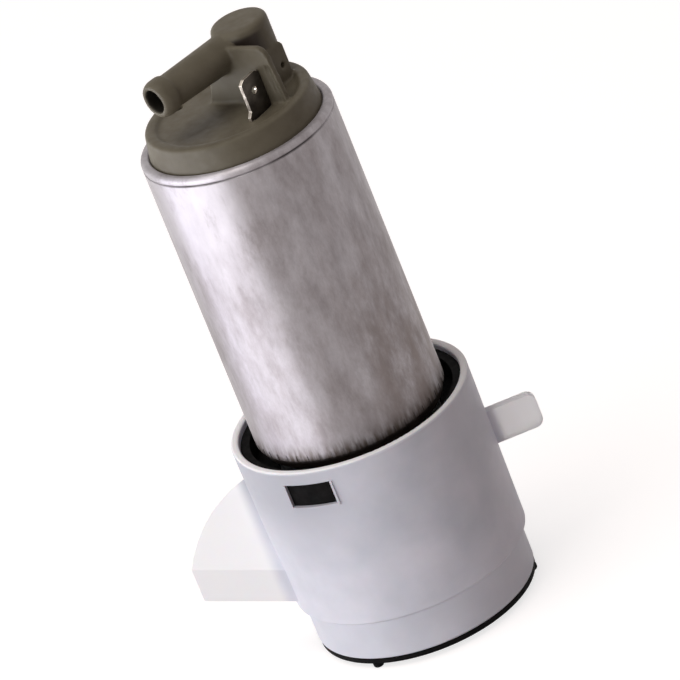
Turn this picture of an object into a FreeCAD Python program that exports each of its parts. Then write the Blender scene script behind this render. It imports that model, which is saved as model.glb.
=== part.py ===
"""In-tank electric fuel pump standing in its moulded holder cup. Millimetres.

The origin is on the pump's axis, in the flat underside of the holder's base.
+Z runs up the pump to the hose nozzle. +X is the right of the photographed
view, and -Y is its front. The three rubber feet reach below the origin.
"""
import FreeCAD
import Part

import math
import os

from FreeCAD import Vector

# Clearances between pieces
fixed_gap = 0.05        # between pieces that are assembled and stay put
running_gap = 0.03      # between the shaft and what turns on or in it
slide_gap = 0.10        # between a sliding piece and its guide
mount_gap = 0.30        # between the pump and the rubber that holds it
stack_gap = 0.10        # end play left where the can is rolled over the stack

# Holder base: black ring, rubber feet, strainer and base cap
base_ring_inset = 0.2
base_ring_height = 1.2
base_ring_width = 2.4
foot_r = 1.2
foot_height = 1.2
foot_stem_r = 0.6
foot_stem_grip = 1.0
foot_inset = 1.0
foot_count = 3
foot_first_angle = -128.8
base_cap_inset = 1.5
base_cap_height = 9.4
base_cap_wall = 1.7
base_cap_edge_round = 0.5
base_cap_plug_height = 4.4
base_floor_thickness = 1.6
base_floor_drop = 2.0
flange_width = 5.3
flange_thickness = 1.2
frame_rim_width = 3.6
frame_hub_r = 4.2
frame_spoke_width = 1.6
frame_spoke_count = 6
mesh_thickness = 0.3
mesh_hole = 1.6
mesh_pitch = 2.3
flap_r = 9.0
flap_height = 2.2
flap_edge = 0.7
flap_stem_r = 1.4
flap_bulb_r = 2.1
flap_bulb_height = 2.6
inlet_hole_r = 1.5
inlet_hole_circle_r = 5.6
inlet_hole_count = 6

# Holder cup with its window, side tab and side wing
cup_lower_r = 26.4
cup_rim_r = 26.9
cup_height = 39.6
cup_wall = 1.75
cup_foot_wall = 1.7
cup_lip_round = 0.6
cup_foot_chamfer = 0.8
shelf_drop = 20.4
shelf_thickness = 1.8
shelf_hole_r = 15.5
window_width = 10.9
window_height = 5.4
window_drop = 3.0
window_angle = -122.9
window_frame_width = 0.45
window_frame_proud = 0.3
tab_reach = 10.7
tab_height = 8.0
tab_thickness = 2.2
tab_rise = 18.2
tab_corner_r = 2.0
wing_thickness = 1.8
wing_skirt_height = 8.1
wing_root_depth = 0.95
wing_root_front = 5.5
wing_root_rise = 11.2
wing_tip_reach = 18.1
wing_tip_back = 2.0
wing_tip_rise = 16.1
wing_peak_depth = 0.7
wing_peak_back = 3.5
wing_peak_rise = 31.0
wing_bulge = 2.6

# Rubber mount that lines the cup and carries the pump
mount_top_drop = 1.5
mount_lining = 2.0
mount_collar_height = 14.0
mount_ledge_height = 8.0
mount_ledge_r = 15.6
mount_lug_drop = 0.5

# Pump can, with both ends rolled over the pieces inside
can_r = 21.5
can_wall = 1.2
can_lip = 1.0
can_top_lip_r = 19.4
can_bottom_lip_r = 18.8
can_top_round = 1.0
can_crimp_height = 2.8
can_crimp_inset = 0.9
can_crimp_round = 1.2
can_groove_drop = 1.6
can_groove_depth = 0.25
crimp_mark_count = 48
crimp_mark_width = 0.7
crimp_mark_depth = 0.12
crimp_mark_height = 1.4

# Turbine stage at the bottom of the can
skirt_r = 18.5
skirt_wall = 2.0
skirt_height = 10.2
inlet_cover_thickness = 7.9
inlet_pipe_r = 4.5
inlet_pipe_bore_r = 3.0
inlet_pipe_clear = 13.0
inlet_pipe_offset = 8.0
inlet_pocket_depth = 3.5
pump_ring_height = 3.8
pump_ring_bore_r = 17.3
impeller_r = 17.1
impeller_side_gap = 0.15
vane_count = 36
vane_slot_width = 1.1
vane_slot_depth = 2.6
channel_mean_r = 15.6
channel_r = 1.3
upper_plate_thickness = 5.7
plate_outlet_width = 4.0
seal_ring_r = 0.9
seal_ring_inset = 0.5

# Shaft, bearings and armature
shaft_r = 2.0
shaft_flat_depth = 0.5
bearing_r = 3.8
lower_bearing_height = 6.2
upper_bearing_height = 5.0
bearing_boss_height = 1.4
bearing_boss_wall = 1.6
thrust_pad_r = 2.4
thrust_pad_height = 1.7
thrust_washer_r = 4.0
thrust_washer_height = 0.5
armature_r = 13.3
armature_height = 24.0
armature_rise = 6.5
armature_slots = 8
slot_mouth = 1.4
slot_pocket_r = 2.3
slot_circle_r = 9.6
insulator_height = 0.5
winding_overhang = 3.5
winding_r = 11.6
winding_inner_r = 4.6
commutator_r = 11.0
commutator_inner_r = 4.6
commutator_copper = 1.6
commutator_cut = 0.6
commutator_drop = 0.5

# Field magnets and the steel tube that spaces the stack
flux_ring_height = 40.0
flux_ring_bore_r = 18.0
magnet_inner_r = 14.0
magnet_height = 28.0
magnet_angle = 128.0
clip_thickness = 0.6
clip_side_gap = 1.5

# Brushes, brush holder and suppression chokes
brush_holder_height = 6.5
brush_side = 5.0
brush_length = 7.4
brush_contact_gap = 0.05
brush_circle_r = 7.6
brush_angle = 90.0
brush_pocket_height = 7.5
brush_spring_r = 1.7
brush_spring_wire_r = 0.25
brush_spring_turns = 7
choke_core_r = 1.4
choke_coil_r = 2.4
choke_height = 8.6
choke_pocket_height = 9.0
choke_circle_r = 14.5
choke_angle = 57.5
choke_turns = 7

# Outlet cover, below and above the can's top lip
cover_shoulder_height = 6.9
cover_neck_r = 19.25
cover_top_r = 18.5
cover_floor_rise = 5.5
cover_ridge_rise = 0.9
cover_ridge_round = 0.7
cover_ridge_width = 1.3
cover_slope_angle = 60.0
seal_groove_rise = 3.6

# Valve tower, hose nozzle and wall on the cover
tower_x = 8.65
tower_y = 5.2
tower_r = 6.3
tower_height = 15.6
tower_round = 1.2
tower_base_height = 8.8
tower_base_half = 6.45
tower_base_back = 3.6
tower_base_round = 1.5
tower_hole_r = 0.6
tower_hole_depth = 1.5
tower_hole_back = 1.4
tower_hole_height = 3.7
nozzle_angle = 212.0
nozzle_length = 26.4
nozzle_root_r = 4.15
nozzle_r = 3.8
nozzle_drop = 0.55
nozzle_bore_r = 2.65
barb_r = 4.25
barb_length = 4.4
barb_land = 2.0
barb_ramp = 0.6
nozzle_tip_r = 3.55
wall_angle = -45.5
wall_front = 7.9
wall_thickness = 1.45
wall_height = 13.5
wall_right_foot = 12.9
wall_right_top = 11.6
wall_left_foot = 8.8
wall_left_top = 3.6
wall_corner_r = 2.8
groove_inset = 0.6
groove_width = 1.3
groove_height = 9.0
groove_depth = 0.5

# Spade terminals
blade_width = 6.3
blade_thickness = 0.8
blade_height = 8.8
blade_slope = 0.7
blade_flat = 3.9
blade_hole_r = 0.8
blade_hole_height = 5.3
blade_stem = 3.4
blade_foot = 0.9
front_blade_along = 8.0
rear_blade_along = -7.8
blade_wall_gap = 0.1

# Check valve in the tower and relief valve beside it
valve_bore_r = 3.4
valve_bore_headroom = 0.3
valve_seat_height = 2.0
valve_seat_rise = 4.0
valve_seat_bore_r = 1.9
poppet_head_r = 2.8
poppet_head_height = 2.4
poppet_stem_r = 0.9
poppet_stem_height = 9.0
check_spring_r = 1.7
check_spring_wire_r = 0.25
check_spring_turns = 5
cage_height = 1.8
cage_hole_r = 0.7
cage_hole_circle_r = 2.2
cage_rise = 14.5
relief_x = -9.8
relief_y = 10.4
relief_bore_r = 2.4
relief_bore_height = 9.0
relief_vent_r = 1.1
relief_seat_height = 1.7
relief_ball_r = 1.6
relief_spring_r = 1.3
relief_spring_wire_r = 0.22
relief_spring_turns = 4

# Radii of the holder, worked out from the cup's own
cup_bore_r = cup_rim_r - cup_wall
cup_plug_bore_r = cup_lower_r - cup_foot_wall
base_cap_r = cup_lower_r - base_cap_inset
flange_r = base_cap_r - flange_width
base_ring_r = base_cap_r - base_ring_inset
foot_circle_r = base_ring_r - foot_inset

# Levels of the holder, worked out from the flat underside of the base
base_cap_bottom = base_ring_height
cup_bottom = base_cap_bottom + base_cap_height
base_floor_top = cup_bottom - base_floor_drop
base_floor_bottom = base_floor_top - base_floor_thickness
cup_top = cup_bottom + cup_height
shelf_top = cup_top - shelf_drop
shelf_bottom = shelf_top - shelf_thickness
window_top = cup_top - window_drop
window_bottom = window_top - window_height

# Levels of the pump, worked out from the ledge it stands on
ledge_top = shelf_top + mount_ledge_height
skirt_bottom = ledge_top + stack_gap
flange_bottom = skirt_bottom + skirt_height
can_bottom = flange_bottom - stack_gap - can_lip
inlet_cover_top = flange_bottom + inlet_cover_thickness
pump_ring_top = inlet_cover_top + pump_ring_height
upper_plate_top = pump_ring_top + upper_plate_thickness
flux_ring_top = upper_plate_top + flux_ring_height
brush_holder_top = flux_ring_top + brush_holder_height
shoulder_top = brush_holder_top + cover_shoulder_height
can_top = shoulder_top + stack_gap + can_lip
cover_floor = shoulder_top + cover_floor_rise
ridge_top = cover_floor + cover_ridge_rise
tower_top = cover_floor + tower_height
tower_base_top = cover_floor + tower_base_height
nozzle_z = tower_top - nozzle_drop - nozzle_r
casing_seal_level = inlet_cover_top - seal_ring_inset - seal_ring_r
cover_seal_level = brush_holder_top + seal_groove_rise

# Levels of the rotor
core_bottom = upper_plate_top + armature_rise
core_top = core_bottom + armature_height
commutator_top = flux_ring_top - commutator_drop
shaft_top = brush_holder_top - 2 * commutator_drop
bearing_bottom = upper_plate_top + bearing_boss_height - lower_bearing_height
upper_bearing_bottom = brush_holder_top - upper_bearing_height

# Radii that follow from the can
can_bore_r = can_r - can_wall
stack_r = can_bore_r - slide_gap
mount_bore_r = skirt_r + mount_gap
mount_r = cup_bore_r - fixed_gap
armature_bore_r = shaft_r + running_gap

# The ridge's inner slope: a round crest that runs into a wider hollow at the floor
slope_share = 1 - math.cos(math.radians(cover_slope_angle))
cover_slope_r = cover_ridge_rise / slope_share - cover_ridge_round
slope_reach = math.sin(math.radians(cover_slope_angle)) * (cover_slope_r + cover_ridge_round)
cover_floor_r = cover_top_r - cover_ridge_round - cover_ridge_width - slope_reach

# Directions in plan
tower_turn = math.degrees(math.atan2(tower_y, tower_x))
brush_bottom = commutator_top + brush_contact_gap
brush_pocket_top = brush_holder_top + brush_pocket_height


def on_circle(radius, angle):
    """Plan point at a radius and an angle from +X, in degrees."""
    turn = math.radians(angle)
    return radius * math.cos(turn), radius * math.sin(turn)


def cylinder(radius, bottom, top, x=0.0, y=0.0):
    """Upright cylinder between two levels."""
    return Part.makeCylinder(radius, top - bottom, Vector(x, y, bottom))


def tube(outer_r, inner_r, bottom, top, x=0.0, y=0.0):
    """Upright tube between two levels."""
    core = cylinder(inner_r, bottom - 1, top + 1, x, y)
    return cylinder(outer_r, bottom, top, x, y).cut(core)


def block(width, depth, bottom, top, x=0.0, y=0.0):
    """Box centred in plan on a point, between two levels."""
    corner = Vector(x - width / 2, y - depth / 2, bottom)
    return Part.makeBox(width, depth, top - bottom, corner)


def bend(centre, radius, middle_angle, end_angle):
    """Arc of an outline, as its middle and end points."""
    ends = []
    for angle in (middle_angle, end_angle):
        across, up = on_circle(radius, angle)
        ends.append((centre[0] + across, centre[1] + up))
    return tuple(ends)


def turned(start, *steps):
    """Ring or disc turned about Z from an outline of (radius, level) points.

    A step is a point for a straight line, or a pair of points, the middle and
    the end, for an arc.
    """
    edges = []
    here = Vector(start[0], 0, start[1])
    for step in steps + (start,):
        if isinstance(step[0], tuple):
            middle = Vector(step[0][0], 0, step[0][1])
            there = Vector(step[1][0], 0, step[1][1])
            edges.append(Part.Arc(here, middle, there).toShape())
        else:
            there = Vector(step[0], 0, step[1])
            edges.append(Part.makeLine(here, there))
        here = there
    face = Part.Face(Part.Wire(edges))
    return face.revolve(Vector(0, 0, 0), Vector(0, 0, 1), 360)


def spun(shape, count, first_angle=0.0):
    """Copies of a shape spread evenly round Z, as a list."""
    copies = []
    for index in range(count):
        copy = shape.copy()
        copy.rotate(Vector(0, 0, 0), Vector(0, 0, 1), first_angle + index * 360 / count)
        copies.append(copy)
    return copies


def joined(shapes):
    """One solid from overlapping shapes."""
    return shapes[0].fuse(shapes[1:]).removeSplitter()


def moved(shape, x, y, z=0.0):
    """A copy of a shape shifted in space."""
    copy = shape.copy()
    copy.translate(Vector(x, y, z))
    return copy


def coil_spring(mean_r, wire_r, bottom, top, turns, x, y):
    """Compression spring between two levels, wound as one helix."""
    rise = top - bottom - 2 * wire_r
    helix = Part.makeHelix(rise / turns, rise, mean_r)
    section = Part.Wire(Part.makeCircle(wire_r, Vector(mean_r, 0, 0), Vector(0, 1, 0)))
    wound = Part.Wire(helix.Edges).makePipeShell([section], True, True)
    return moved(wound, x, y, bottom + wire_r)


# The holder: base, cup and rubber mount

def make_base_ring():
    """Black rubber ring under the base cap, with a hole for each foot's stem."""
    ring = tube(base_ring_r, base_ring_r - base_ring_width, 0, base_ring_height)
    x, y = on_circle(foot_circle_r, 0)
    hole = cylinder(foot_stem_r + fixed_gap, -1, base_ring_height + 1, x, y)
    return ring.cut(spun(hole, foot_count, foot_first_angle))


def make_rubber_feet():
    """Round-ended rubber nubs, each with a stem through the ring into the cap."""
    stem_top = base_ring_height + foot_stem_grip
    foot = turned(
        (0, -foot_height),
        (foot_r / 2, -foot_height),
        bend((foot_r / 2, -foot_height + foot_r / 2), foot_r / 2, -45, 0),
        (foot_r, 0),
        (foot_stem_r, 0),
        (foot_stem_r, stem_top),
        (0, stem_top),
    )
    x, y = on_circle(foot_circle_r, 0)
    return Part.makeCompound(spun(moved(foot, x, y), foot_count, foot_first_angle))


def make_base_cap():
    """White cap that closes the cup: a wall, a floor with inlet holes and a plug."""
    plug_r = cup_plug_bore_r - fixed_gap
    inner_r = base_cap_r - base_cap_wall
    edge = base_cap_edge_round
    plug_top = cup_bottom + base_cap_plug_height
    cap = turned(
        (flange_r, base_cap_bottom),
        (base_cap_r - edge, base_cap_bottom),
        bend((base_cap_r - edge, base_cap_bottom + edge), edge, -45, 0),
        (base_cap_r, cup_bottom),
        (plug_r, cup_bottom),
        (plug_r, plug_top),
        (plug_r - base_cap_wall, plug_top),
        (plug_r - base_cap_wall, base_floor_top),
        (0, base_floor_top),
        (0, base_floor_bottom),
        (inner_r, base_floor_bottom),
        (inner_r, base_cap_bottom + flange_thickness),
        (flange_r, base_cap_bottom + flange_thickness),
    )
    x, y = on_circle(inlet_hole_circle_r, 0)
    hole = cylinder(inlet_hole_r, base_floor_bottom - 1, base_floor_top + 1, x, y)
    stem_hole = cylinder(flap_stem_r + fixed_gap, base_floor_bottom - 1, base_floor_top + 1)
    x, y = on_circle(foot_circle_r, 0)
    socket_top = base_cap_bottom + foot_stem_grip + fixed_gap
    socket = cylinder(foot_stem_r + fixed_gap, 0, socket_top, x, y)
    sockets = spun(socket, foot_count, foot_first_angle)
    return cap.cut(spun(hole, inlet_hole_count) + [stem_hole] + sockets)


def make_inlet_flap():
    """Rubber umbrella that covers the floor's inlet holes, held by its stem."""
    bottom = base_floor_top + fixed_gap
    bulb_top = base_floor_bottom - fixed_gap
    return turned(
        (0, bulb_top - flap_bulb_height),
        (flap_stem_r, bulb_top - flap_bulb_height),
        (flap_bulb_r, bulb_top),
        (flap_stem_r, bulb_top),
        (flap_stem_r, bottom),
        (flap_r, bottom),
        (flap_r, bottom + flap_edge),
        ((flap_r / 2, bottom + 0.85 * flap_height), (flap_stem_r, bottom + flap_height)),
        (0, bottom + flap_height),
    )


def make_strainer_frame():
    """Spoked ring under the mesh; its hub is the base's flat resting face."""
    rim_r = base_ring_r - base_ring_width - fixed_gap
    rim = tube(rim_r, rim_r - frame_rim_width, 0, base_ring_height)
    hub = cylinder(frame_hub_r, 0, base_ring_height)
    reach = rim_r - frame_rim_width / 2
    spoke = Part.makeBox(reach, frame_spoke_width, base_ring_height)
    spoke = moved(spoke, 0, -frame_spoke_width / 2)
    return joined([rim, hub] + spun(spoke, frame_spoke_count))


def make_strainer_mesh():
    """Square-holed strainer cloth inside the cap's flange, as one holed disc."""
    cloth_r = flange_r - fixed_gap
    outline = Part.Wire(Part.makeCircle(cloth_r))
    half = mesh_hole / 2
    wires = [outline]
    steps = int(cloth_r / mesh_pitch)
    for column in range(-steps, steps + 1):
        for row in range(-steps, steps + 1):
            x = column * mesh_pitch
            y = row * mesh_pitch
            if math.hypot(x, y) + mesh_pitch < cloth_r:
                corners = [(x - half, y - half), (x - half, y + half)]
                corners += [(x + half, y + half), (x + half, y - half)]
                points = [Vector(a, b, 0) for a, b in corners + corners[:1]]
                wires.append(Part.makePolygon(points))
    cloth = Part.Face(wires, "Part::FaceMakerBullseye")
    sheet = cloth.extrude(Vector(0, 0, mesh_thickness))
    return moved(sheet, 0, 0, base_cap_bottom)


def cup_side_r(rise):
    """Radius of the cup's outside at a height above its foot."""
    return cup_lower_r + (cup_rim_r - cup_lower_r) * rise / cup_height


def make_wing():
    """Bent wing on the cup's left: a sloping roof plate over an upright skirt."""
    root_x = wing_root_depth - cup_side_r(wing_root_rise)
    tip_x = -wing_tip_reach - cup_side_r(wing_tip_rise)
    peak_x = wing_peak_depth - cup_side_r(wing_peak_rise)
    root = Vector(root_x, -wing_root_front, cup_bottom + wing_root_rise)
    tip = Vector(tip_x, wing_tip_back, cup_bottom + wing_tip_rise)
    peak = Vector(peak_x, wing_peak_back, cup_bottom + wing_peak_rise)
    ridge = tip - root
    rise = peak - root
    outward = ridge.cross(rise).normalize() * wing_thickness
    if outward.y > 0:
        outward = outward * -1
    middle = (tip + peak) * 0.5
    away = (middle - root).normalize()
    crown = middle + away * wing_bulge
    arc = Part.Arc(tip, crown, peak).toShape()
    sides = [Part.makeLine(peak, root), Part.makeLine(root, tip)]
    roof = Part.Face(Part.Wire([arc] + sides)).extrude(outward * -1)
    drop = Vector(0, 0, -wing_skirt_height)
    corners = [root, tip, tip + drop, root + drop, root]
    level_ridge = Vector(ridge.x, ridge.y, 0).normalize()
    inward = Vector(0, 0, 1).cross(level_ridge) * -wing_thickness
    skirt = Part.Face(Part.makePolygon(corners)).extrude(inward)
    return roof, skirt


def make_cup_body():
    """Nylon cup with its inner shelf, rounded lip, window, tab and wing."""
    chamfer = cup_foot_chamfer
    lip = cup_lip_round
    cup = turned(
        (cup_plug_bore_r, cup_bottom),
        (cup_lower_r - chamfer, cup_bottom),
        (cup_lower_r, cup_bottom + chamfer),
        (cup_rim_r, cup_top - lip),
        bend((cup_rim_r - lip, cup_top - lip), lip, 45, 90),
        (cup_bore_r + lip, cup_top),
        bend((cup_bore_r + lip, cup_top - lip), lip, 135, 180),
        (cup_bore_r, shelf_top),
        (shelf_hole_r, shelf_top),
        (shelf_hole_r, shelf_bottom),
        (cup_plug_bore_r, shelf_bottom),
    )
    root_depth = cup_wall / 3
    room = Part.makeCone(cup_lower_r - root_depth, cup_rim_r - root_depth, cup_height,
                         Vector(0, 0, cup_bottom))
    roof, skirt = make_wing()
    tab_root = cup_bore_r - cup_wall
    tab_end = cup_rim_r + tab_reach
    tab = Part.makeBox(tab_end - tab_root, tab_thickness, tab_height)
    tab = moved(tab, tab_root, -tab_thickness / 2, cup_bottom + tab_rise)
    tab_edges = [edge for edge in tab.Edges if is_tab_corner(edge, tab_end)]
    tab = tab.makeFillet(tab_corner_r, tab_edges)
    frame_w = window_width + 2 * window_frame_width
    frame = window_block(frame_w, window_bottom - window_frame_width, window_top)
    frame = frame.common(cylinder(cup_rim_r + window_frame_proud, cup_bottom, cup_top))
    added = [shape.cut(room) for shape in (roof, skirt, tab, frame)]
    cup = joined([cup] + added)
    return cup.cut(window_block(window_width, window_bottom, window_top))


def is_tab_corner(edge, tab_end):
    """True for the tab's two outer corners, which run along Y."""
    first, last = edge.Vertexes[0].Point, edge.Vertexes[-1].Point
    at_end = abs(first.x - tab_end) < 0.01 and abs(last.x - tab_end) < 0.01
    return at_end and abs(first.y - last.y) > tab_thickness / 2


def window_block(width, bottom, top):
    """Block through the cup's wall at the window's place."""
    depth = cup_rim_r
    wall = block(depth, width, bottom, top, cup_bore_r - 1 + depth / 2, 0)
    wall.rotate(Vector(0, 0, 0), Vector(0, 0, 1), window_angle)
    return wall


def make_rubber_mount():
    """Rubber sleeve: lining, collar with the pump's ledge, lug in the window."""
    top = cup_top - mount_top_drop
    collar_top = ledge_top + mount_collar_height - mount_ledge_height
    lining_r = mount_r - mount_lining
    sleeve = turned(
        (mount_ledge_r, shelf_top),
        (mount_r, shelf_top),
        (mount_r, top),
        (lining_r, top),
        (lining_r, collar_top),
        (mount_bore_r, collar_top),
        (mount_bore_r, ledge_top),
        (mount_ledge_r, ledge_top),
    )
    lug_width = window_width - 2 * fixed_gap
    lug = window_block(lug_width, window_bottom + fixed_gap, window_top - fixed_gap)
    lug = lug.common(cylinder(cup_rim_r - mount_lug_drop, window_bottom, window_top))
    return joined([sleeve, lug.cut(cylinder(lining_r + 0.5, window_bottom, window_top))])


# The pump's can and its turbine stage

def make_can_shell():
    """Drawn steel can with a rolled top lip, a groove and a crimped lower end."""
    top_round = can_top_round
    crimp_round = can_crimp_round
    crimp_top = can_bottom + can_crimp_height
    crimp_r = can_r - can_crimp_inset
    groove = can_top - can_groove_drop
    can = turned(
        (can_bottom_lip_r, can_bottom),
        (crimp_r - crimp_round, can_bottom),
        bend((crimp_r - crimp_round, can_bottom + crimp_round), crimp_round, -45, 0),
        (can_r, crimp_top),
        (can_r, groove - can_groove_depth),
        (can_r - can_groove_depth, groove),
        (can_r, groove + can_groove_depth),
        (can_r, can_top - top_round),
        bend((can_r - top_round, can_top - top_round), top_round, 45, 90),
        (can_top_lip_r + can_lip / 2, can_top),
        bend((can_top_lip_r + can_lip / 2, can_top - can_lip / 2), can_lip / 2, 135, 180),
        (can_top_lip_r, can_top - can_lip),
        (can_bore_r, can_top - can_lip),
        (can_bore_r, crimp_top),
        (can_bore_r - can_crimp_inset, can_bottom + can_lip),
        (can_bottom_lip_r, can_bottom + can_lip),
    )
    mark_bottom = crimp_top - crimp_mark_height
    mark_top = crimp_top + crimp_mark_height
    mark = block(2 * crimp_mark_depth, crimp_mark_width, mark_bottom, mark_top, can_r)
    half_pitch = 180 / crimp_mark_count
    return can.cut(Part.makeCompound(spun(mark, crimp_mark_count, half_pitch)))


def flow_channel(level):
    """Half-round ring channel that the impeller's vanes run over."""
    return Part.makeTorus(channel_mean_r, channel_r, Vector(0, 0, level))


def seal_groove(level):
    """Groove for an O-ring round a piece of the stack."""
    bottom_r = can_bore_r - 2 * (seal_ring_r + fixed_gap)
    reach = seal_ring_r + fixed_gap
    return tube(can_r, bottom_r, level - reach, level + reach)


def make_seal_ring(level):
    """O-ring that seals a piece of the stack in the can."""
    mean_r = can_bore_r - fixed_gap - seal_ring_r
    return Part.makeTorus(mean_r, seal_ring_r, Vector(0, 0, level))


def make_pump_inlet_cover():
    """Lower casting: flange in the can, skirt for the rubber mount, inlet pipe."""
    inset = can_crimp_inset
    crimp_top = can_bottom + can_crimp_height
    cover = turned(
        (0, flange_bottom),
        (skirt_r - skirt_wall, flange_bottom),
        (skirt_r - skirt_wall, skirt_bottom),
        (skirt_r, skirt_bottom),
        (skirt_r, flange_bottom),
        (stack_r - inset, flange_bottom),
        (stack_r, crimp_top + stack_gap),
        (stack_r, inlet_cover_top),
        (0, inlet_cover_top),
    )
    pipe_bottom = base_floor_top + inlet_pipe_clear
    pipe = cylinder(inlet_pipe_r, pipe_bottom, flange_bottom + 1, inlet_pipe_offset, 0)
    bore_top = inlet_cover_top - inlet_pocket_depth + 0.5
    bore = cylinder(inlet_pipe_bore_r, pipe_bottom - 1, bore_top, inlet_pipe_offset, 0)
    pocket_start = inlet_pipe_offset - inlet_pipe_bore_r
    pocket_length = channel_mean_r + channel_r - pocket_start
    pocket_x = pocket_start + pocket_length / 2
    pocket_bottom = inlet_cover_top - inlet_pocket_depth
    pocket_top = inlet_cover_top + 1
    pocket = block(pocket_length, 2 * inlet_pipe_bore_r, pocket_bottom, pocket_top, pocket_x)
    pad_r = thrust_pad_r + fixed_gap
    pad_hole = cylinder(pad_r, inlet_cover_top - thrust_pad_height, inlet_cover_top + 1)
    cuts = [bore, pocket, pad_hole, flow_channel(inlet_cover_top)]
    cuts.append(seal_groove(casing_seal_level))
    return joined([cover, pipe]).cut(cuts)


def make_thrust_pad():
    """Hard pad in the inlet cover that the shaft's lower end stands on."""
    bottom = inlet_cover_top - thrust_pad_height + fixed_gap
    return cylinder(thrust_pad_r, bottom, inlet_cover_top - fixed_gap)


def make_pump_ring():
    """Spacer ring round the impeller."""
    return tube(stack_r, pump_ring_bore_r, inlet_cover_top, pump_ring_top)


def shaft_flat(bottom, top, gap):
    """Side block that leaves the shaft's D shape."""
    flat_x = shaft_r - shaft_flat_depth + gap
    return block(shaft_r, 3 * shaft_r, bottom, top, flat_x + shaft_r / 2)


def make_impeller():
    """Turbine wheel with vane slots round its rim and a D-shaped bore."""
    bottom = inlet_cover_top + impeller_side_gap
    top = pump_ring_top - impeller_side_gap
    wheel = cylinder(impeller_r, bottom, top)
    bore_r = shaft_r + running_gap
    bore = cylinder(bore_r, bottom - 1, top + 1)
    bore = bore.cut(shaft_flat(bottom - 1, top + 1, running_gap))
    slot = block(2 * vane_slot_depth, vane_slot_width, bottom - 1, top + 1, impeller_r)
    return wheel.cut([bore] + spun(slot, vane_count))


def make_pump_upper_plate():
    """Upper casting of the turbine stage: outlet slot and lower bearing seat."""
    boss_top = upper_plate_top + bearing_boss_height
    boss_r = bearing_r + bearing_boss_wall
    plate = cylinder(stack_r, pump_ring_top, upper_plate_top)
    boss = cylinder(boss_r, upper_plate_top - 1, boss_top)
    seat = cylinder(bearing_r + fixed_gap, bearing_bottom, boss_top + 1)
    shaft_hole = cylinder(shaft_r + slide_gap, pump_ring_top - 1, boss_top + 1)
    slot_r = channel_mean_r - channel_r
    slot = block(2 * channel_r, plate_outlet_width, pump_ring_top - 1, upper_plate_top + 1,
                 -slot_r, 0)
    cuts = [seat, shaft_hole, slot, flow_channel(pump_ring_top)]
    return joined([plate, boss]).cut(cuts)


# The rotor and its bearings

def make_bearing(bottom, top):
    """Sintered bush for the shaft."""
    return tube(bearing_r, armature_bore_r, bottom, top)


def make_rotor_shaft():
    """Steel shaft, flattened at its lower end where it drives the impeller."""
    shaft = cylinder(shaft_r, inlet_cover_top, shaft_top)
    return shaft.cut(shaft_flat(inlet_cover_top - 1, pump_ring_top, 0))


def make_thrust_washer():
    """Washer on the shaft, above the lower bearing."""
    bottom = upper_plate_top + bearing_boss_height + fixed_gap
    return tube(thrust_washer_r, armature_bore_r, bottom, bottom + thrust_washer_height)


def slot_pockets(bottom, top, shrink=0.0):
    """Round slots of the armature, where its windings lie."""
    x, y = on_circle(slot_circle_r, 0)
    return spun(cylinder(slot_pocket_r - shrink, bottom, top, x, y), armature_slots)


def make_armature_core():
    """Laminated steel core with wire slots open to the rim."""
    core = tube(armature_r, armature_bore_r, core_bottom, core_top)
    mouth = block(armature_r, slot_mouth, core_bottom - 1, core_top + 1,
                  slot_circle_r + armature_r / 2)
    pockets = slot_pockets(core_bottom - 1, core_top + 1)
    return core.cut(spun(mouth, armature_slots) + pockets)


def make_end_insulators():
    """Thin discs between the core's ends and the wire."""
    discs = []
    for bottom in (core_bottom - insulator_height - fixed_gap, core_top + fixed_gap):
        disc = tube(armature_r - 0.5, armature_bore_r, bottom, bottom + insulator_height)
        disc = disc.cut(slot_pockets(bottom - 1, bottom + insulator_height + 1))
        mouth = block(armature_r, slot_mouth, bottom - 1, bottom + insulator_height + 1,
                      slot_circle_r + armature_r / 2)
        discs.append(disc.cut(spun(mouth, armature_slots)))
    return Part.makeCompound(discs)


def make_armature_winding():
    """Copper winding: a bundle of wire in each slot and the overhangs at both ends."""
    gap = insulator_height + 2 * fixed_gap
    lower_top = core_bottom - gap
    upper_bottom = core_top + gap
    lower = tube(winding_r, winding_inner_r, lower_top - winding_overhang, lower_top)
    upper = tube(winding_r, winding_inner_r, upper_bottom, upper_bottom + winding_overhang)
    bars = slot_pockets(lower_top - 1, upper_bottom + 1, slide_gap)
    return joined([lower, upper] + bars)


def make_commutator_hub():
    """Moulded hub that carries the copper segments on the shaft."""
    bottom = core_top + insulator_height + winding_overhang + 4 * fixed_gap
    seat = commutator_top - commutator_copper
    hub = tube(commutator_r, armature_bore_r, bottom, seat - fixed_gap)
    inner_r = commutator_inner_r - fixed_gap
    nose = tube(inner_r, armature_bore_r, seat - 1, commutator_top - fixed_gap)
    return joined([hub, nose])


def make_commutator_segments():
    """Flat copper segments that the brushes press on."""
    ring = tube(commutator_r, commutator_inner_r, commutator_top - commutator_copper,
                commutator_top)
    cut = block(commutator_r, commutator_cut, commutator_top - 2 * commutator_copper,
                commutator_top + 1, commutator_r / 2 + 1)
    return ring.cut(spun(cut, armature_slots, 180 / armature_slots))


# The field: steel tube, magnets and their clips

def make_flux_ring():
    """Steel tube behind the magnets, which also spaces the stack in the can."""
    return tube(stack_r, flux_ring_bore_r, upper_plate_top, flux_ring_top)


def ring_sector(outer_r, inner_r, span, middle_angle, bottom, top):
    """Part of a ring, centred on an angle from +X."""
    sector = Part.makeCylinder(outer_r, top - bottom, Vector(0, 0, bottom),
                               Vector(0, 0, 1), span)
    core = cylinder(inner_r, bottom - 1, top + 1)
    sector = sector.cut(core)
    sector.rotate(Vector(0, 0, 0), Vector(0, 0, 1), middle_angle - span / 2)
    return sector


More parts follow.
